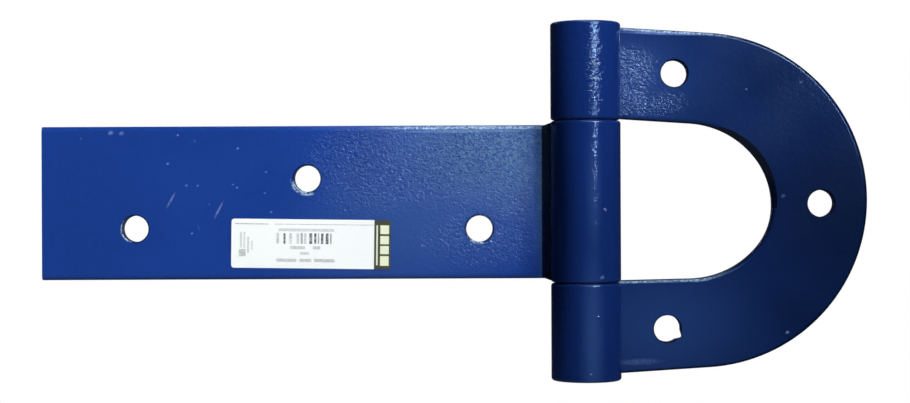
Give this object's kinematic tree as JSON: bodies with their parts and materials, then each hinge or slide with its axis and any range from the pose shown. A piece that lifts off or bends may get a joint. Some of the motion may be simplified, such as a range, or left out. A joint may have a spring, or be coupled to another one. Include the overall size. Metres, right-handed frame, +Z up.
{
  "type": "strap hinge",
  "caption": "Heavy gate hinge: a long drilled strap and a drilled horseshoe leaf welded to a knuckled barrel, swinging on a welded-in pin.",
  "frame": {"origin": "centre of the bow's bolt hole on the back face of the horseshoe leaf", "axes": "+Z up along the hinge pin; +Y into the post, out of the back faces; +X from the pin towards the bow, so the open strap lies towards -X"},
  "size_m": [0.3416, 0.0286, 0.1464],
  "materials": {
    "leaf_enamel": "gloss enamel over rolled plate",
    "barrel_enamel": "gloss enamel over turned tube",
    "strap_enamel": "gloss enamel over flat bar, orange-peel texture",
    "weld_enamel": "gloss enamel over weld bead",
    "pin_steel": "turned, bare inside the knuckles",
    "label_paper": "coated paper"
  },
  "bodies": {
    "leaf_side": {"horseshoe_leaf": "leaf_enamel", "upper_knuckle": "barrel_enamel", "lower_knuckle": "barrel_enamel", "hinge_pin": "pin_steel", "upper_weld_front": "weld_enamel", "upper_weld_back": "weld_enamel", "lower_weld_front": "weld_enamel", "lower_weld_back": "weld_enamel", "upper_pin_weld": "weld_enamel", "lower_pin_weld": "weld_enamel"},
    "strap_side": {"strap": "strap_enamel", "strap_knuckle": "barrel_enamel", "strap_weld_front": "weld_enamel", "strap_weld_back": "weld_enamel", "label": "label_paper"}
  },
  "joints": [
    {"name": "strap_swing", "type": "hinge", "parent": "leaf_side", "child": "strap_side", "pos_m": [-0.098, -0.0143, 0], "axis": [0, 0, 1], "range_deg": [-146, 187]}
  ]
}
